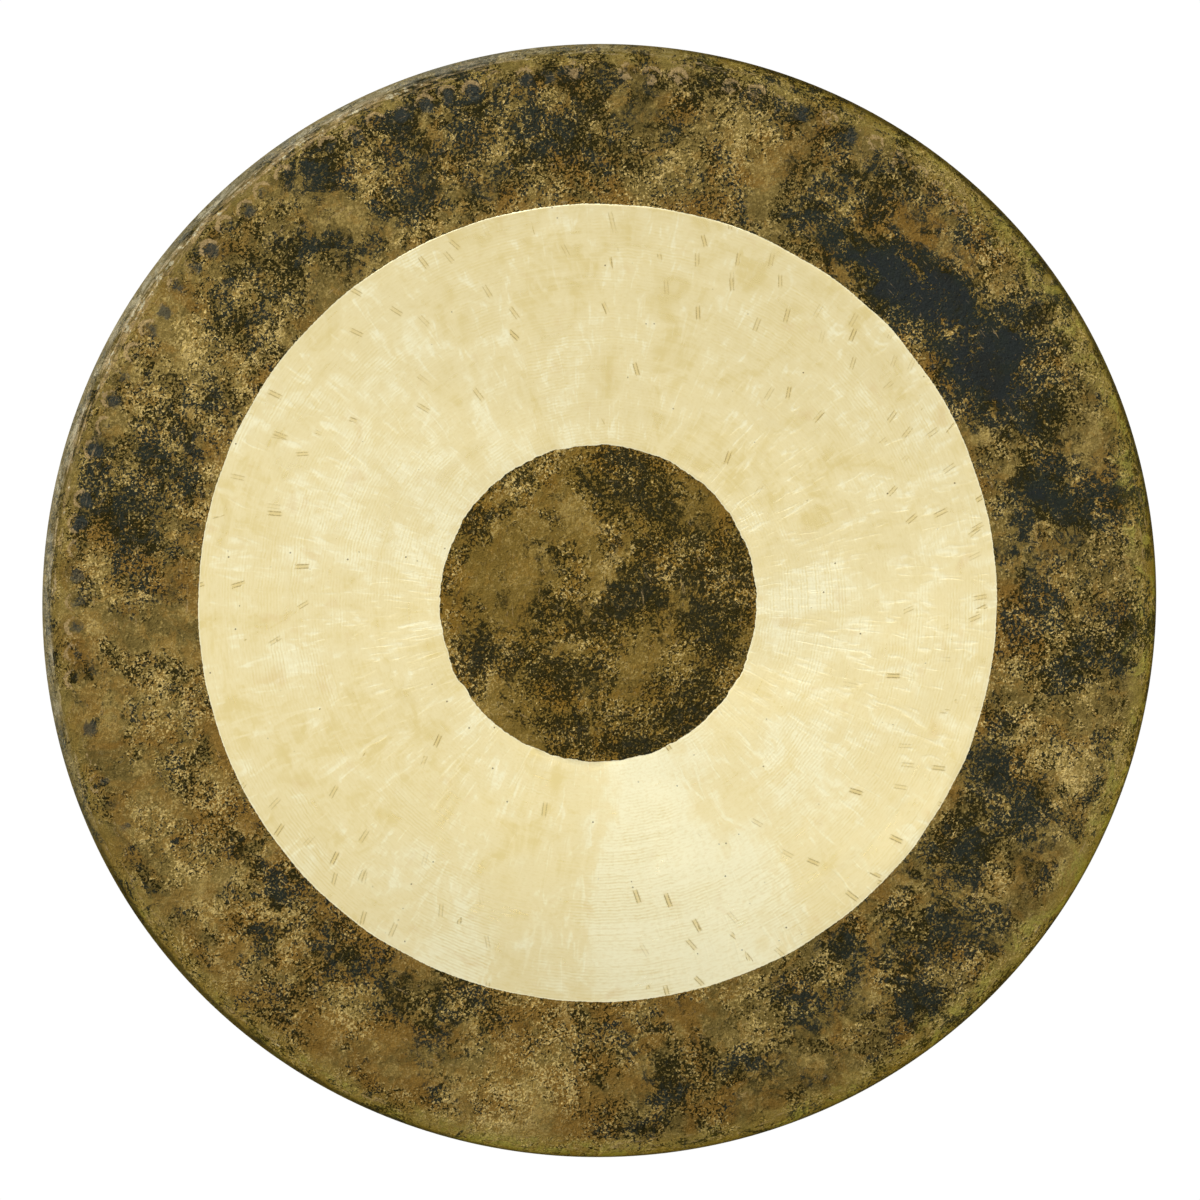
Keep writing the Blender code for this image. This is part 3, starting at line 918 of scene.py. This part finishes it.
def bare_metal(paint, flat, radius, cosine, sine, colours):
    """(colour, roughness, height) of the shaved ring with its turned lines and its tool marks."""
    clouds = paint.noise(flat, 11.0, 4.0, 0.6, 0.8)
    patches = paint.noise(flat, 34.0, 5.0, 0.6, 1.2)
    bent = radius + (clouds - 0.5) * 0.03
    streaks = paint.noise(oblique(paint, bent * 12, cosine * 10, sine * 10), 1.0, 3.0, 0.6, 0.8)
    # Wrinkles: a slight bump, and in the colour small crescents of painted highlight
    wrinkle_and_gleam = paint.noise(oblique(paint, bent * 36, cosine * 34, sine * 34), 1.0, 1.0, 0.5, 1.6)
    wrinkle_and_gleam = paint.step(wrinkle_and_gleam + (patches - 0.5) * 0.6, 0.50, 0.85)
    lines = paint.noise(paint.vector(radius * 430, cosine * 2.5, sine * 2.5), 1.0, 1.0, 0.6)
    brushed = paint.noise(paint.vector(radius * 640, cosine * 60, sine * 60), 1.0, 1.0, 0.6)
    turns = radius * (2 * math.pi / TURNED_PITCH) + streaks * 14.0 + patches * 5.0
    spiral = paint.node("Math", {"operation": "SINE"}, {0: turns})
    shown = paint.step(clouds, 0.42, 0.60)
    turned = (spiral * 0.5 + 0.5) * (0.08 + shown * 0.42) * paint.step(lines, 0.30, 0.60)
    turned = turned + paint.step(brushed, 0.40, 0.80) * 0.35
    # Painted highlight: the gleams, the radial streaks and the wrinkles' small crescents lighten the metal
    # towards silver, over random tone from the clouds, patches and lines
    polish_and_painted_gleam = paint.attribute("painted_gleam") * 0.62 + (streaks - 0.5) * 1.3 + wrinkle_and_gleam * 0.62 + (clouds - 0.5) * 2.0
    polish_and_painted_gleam = polish_and_painted_gleam + (patches - 0.5) * 2.1 + (lines - 0.5) * 0.6 + 0.40
    polish_and_painted_gleam = polish_and_painted_gleam - paint.step(radius, 0.21, 0.29) * 0.10
    warm = paint.step(paint.noise(flat, 48.0, 2.0, 0.5, 0.4) + (clouds - 0.5) * 0.3, 0.62, 0.80)
    colour = paint.mix(colours.honey, colours.shaved, paint.step(polish_and_painted_gleam, -0.25, 0.45))
    colour = paint.mix(colour, colours.silvery_gleam, paint.step(polish_and_painted_gleam, 0.45, 1.25))
    colour = paint.mix(colour, colours.honey, turned)
    colour = paint.mix(colour, colours.tinted, warm * 0.35)
    colour, marks = scraper_cuts(paint, flat, radius, cosine, streaks, colour, colours)
    pits = {"Vector": flat, "Scale": 58.0, "Randomness": 1.0}
    pit = paint.node("TexVoronoi", {"voronoi_dimensions": "2D"}, pits, output="Distance")
    pit = (1 - paint.step(pit, 0.02, 0.05)) * paint.step(patches, 0.58, 0.64)
    colour = paint.mix(colour, colours.pit, pit * 0.8)
    # Painted highlight: a silver line along the cut edges of the ring
    edge = 1 - paint.step(paint.attribute("shave"), 0.0002, 0.0012)
    colour = paint.mix(colour, colours.silvery_gleam, edge * 0.7)
    rough = 0.31 + (patches - 0.5) * 0.16 + (lines - 0.5) * 0.1
    height = lines * 0.3 - turned * 0.4 - marks * 0.6 - pit * 0.6 + wrinkle_and_gleam * 0.6
    return colour, rough, height


def gong_finish(name, colours):
    """Cast skin everywhere but in the shaved ring, which is bare metal."""
    made = bpy.data.materials.new(name)
    made.use_nodes = True
    paint = Paint(made.node_tree)
    place = paint.node("TexCoord", output="Object")
    x = paint.node("SeparateXYZ", inputs={0: place})
    z = Value(paint, x.socket.node.outputs[2])
    radius = paint.node("Math", {"operation": "SQRT"}, {0: x * x + z * z}) + 1e-6
    cosine, sine = x / radius, z / radius
    flat = paint.vector(x, z, 0.0)
    skin_colour, skin_rough, skin_height = cast_skin(paint, place, x, z, radius, colours)
    metal_colour, metal_rough, metal_height = bare_metal(paint, flat, radius, cosine, sine, colours)
    edge = paint.attribute("shave") + (paint.noise(place, 500.0, 2.0, 0.6) - 0.5) * 0.0012
    bare = paint.step(edge, -0.00015, 0.00015)
    colour = paint.mix(skin_colour, metal_colour, bare)
    rough = skin_rough * (1 - bare) + metal_rough * bare
    height = (skin_height * (1 - bare) * 0.35 + metal_height * bare * 0.10) * MM
    normal = paint.node("Bump", inputs={"Strength": 1.0, "Distance": 1.0, "Height": height})
    inputs = {"Base Color": colour, "Roughness": rough, "Metallic": 1.0, "Normal": normal}
    inputs["Specular Tint"] = (*colours.grazing, 1.0)
    paint.node("OutputMaterial", inputs={0: paint.node("BsdfPrincipled", inputs=inputs)})
    return made


def plain_finish(name, colour, roughness):
    made = bpy.data.materials.new(name)
    made.use_nodes = True
    paint = Paint(made.node_tree)
    place = paint.node("TexCoord", output="Object")
    tone = paint.noise(place, 3.0, 3.0)
    shade = paint.mix(tuple(c * 0.985 for c in colour), colour, tone)
    shader = paint.node("BsdfPrincipled", inputs={"Base Color": shade, "Roughness": roughness})
    paint.node("OutputMaterial", inputs={0: shader})
    return made


class GONG_OT_disc(bpy.types.Operator):
    """Hammer, dent, shave and drill the sheet of the gong"""

    bl_idname = "gong.disc"
    bl_label = "Hammered sheet"

    def execute(self, context):
        sheet = Sheet(context.scene.gong_sizes)
        bm = spun(sheet)
        struck(bm, sheet)
        bmesh.ops.rotate(bm, cent=(0, 0, 0), matrix=Matrix.Rotation(math.pi / 2, 3, "X"), verts=bm.verts)
        mesh = bpy.data.meshes.new("hammered_sheet")
        bm.to_mesh(mesh)
        bm.free()
        piece = bpy.data.objects.new("hammered_sheet", mesh)
        context.scene.collection.objects.link(piece)
        mesh.materials.append(gong_finish("cast_skin_and_shaved_ring", context.scene.gong_colours))
        drilled(piece, sheet)
        piece.data.shade_smooth()
        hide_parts(DISC_NODE)
        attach(piece, "root")
        return {"FINISHED"}


class GONG_OT_stage(bpy.types.Operator):
    """Lay the floor, set the lights and place the camera"""

    bl_idname = "gong.stage"
    bl_label = "Stage"

    def execute(self, context):
        stage = context.scene.gong_stage
        self.lay_floor(context, stage)
        self.light_room(context)
        self.hang_lights(context)
        self.place_camera(context, stage)
        return {"FINISHED"}

    def lay_floor(self, context, stage):
        bm = bmesh.new()
        bmesh.ops.create_circle(bm, cap_ends=True, segments=96, radius=stage.floor_radius)
        bmesh.ops.translate(bm, vec=(0, 0, stage.floor_level), verts=bm.verts)
        mesh = bpy.data.meshes.new("floor")
        bm.to_mesh(mesh)
        bm.free()
        floor = bpy.data.objects.new("floor", mesh)
        context.scene.collection.objects.link(floor)
        mesh.materials.append(plain_finish("pale_floor", (0.86, 0.86, 0.85), 0.6))

    def light_room(self, context):
        world = bpy.data.worlds.new("white_room")
        context.scene.world = world
        world.use_nodes = True
        paint = Paint(world.node_tree)
        way = paint.node("TexCoord", output="Generated")
        up = Value(paint, paint.node("SeparateXYZ", inputs={0: way}).socket.node.outputs[2])
        soft = paint.mix((0.70, 0.70, 0.69), (0.92, 0.92, 0.92), paint.step(up, -0.8, 0.05))
        seen = paint.node("LightPath", output="Is Camera Ray")
        shade = paint.mix(soft, (1.02, 1.02, 1.02), seen)
        paint.node("OutputWorld", inputs={0: paint.node("Background", inputs={0: shade, 1: 1.0})})

    def hang_lights(self, context):
        """Soft boxes that face the gong and that the camera doesn't see."""
        for name, across, up, distance, size, watts in SOFT_BOXES:
            lamp = bpy.data.lights.new(name, "AREA")
            lamp.shape = "DISK"
            lamp.size = size
            lamp.energy = watts
            box = bpy.data.objects.new(name, lamp)
            box.location = (across, -distance, up)
            box.rotation_euler = (-Vector(box.location)).to_track_quat("-Z", "Y").to_euler()
            box.visible_camera = False
            context.scene.collection.objects.link(box)

    def place_camera(self, context, stage):
        lens = bpy.data.cameras.new("long_lens")
        lens.lens = lens.sensor_width * stage.distance / stage.picture_width
        lens.clip_start, lens.clip_end = 0.1, 60.0
        camera = bpy.data.objects.new("camera", lens)
        a, e = stage.azimuth, stage.elevation
        back = Vector((math.sin(a) * math.cos(e), -math.cos(a) * math.cos(e), math.sin(e)))
        camera.location = back * stage.distance + AIM
        camera.rotation_euler = (-back).to_track_quat("-Z", "Y").to_euler()
        context.scene.collection.objects.link(camera)
        context.scene.camera = camera
        context.scene.view_settings.view_transform = "Standard"


class GONG_PT_panel(bpy.types.Panel):
    """The gong's sizes, colours and steps"""

    bl_label = "Chau gong"
    bl_space_type = "VIEW_3D"
    bl_region_type = "UI"
    bl_category = "Gong"

    def draw(self, context):
        for operator in STEPS:
            self.layout.operator(operator.bl_idname)
        for group in (context.scene.gong_sizes, context.scene.gong_colours, context.scene.gong_stage):
            column = self.layout.column()
            for name in group.__annotations__:
                column.prop(group, name)


STEPS = (GONG_OT_disc, GONG_OT_stage)
CLASSES = (GongSizes, GongColours, GongStage, *STEPS, GONG_PT_panel)


def register():
    for made in CLASSES:
        bpy.utils.register_class(made)
    bpy.types.Scene.gong_sizes = PointerProperty(type=GongSizes)
    bpy.types.Scene.gong_colours = PointerProperty(type=GongColours)
    bpy.types.Scene.gong_stage = PointerProperty(type=GongStage)


def unregister():
    for name in ("gong_sizes", "gong_colours", "gong_stage"):
        delattr(bpy.types.Scene, name)
    for made in reversed(CLASSES):
        bpy.utils.unregister_class(made)


def main():
    register()
    bpy.ops.gong.disc()
    bpy.ops.gong.stage()


if __name__ == "__main__":
    main()
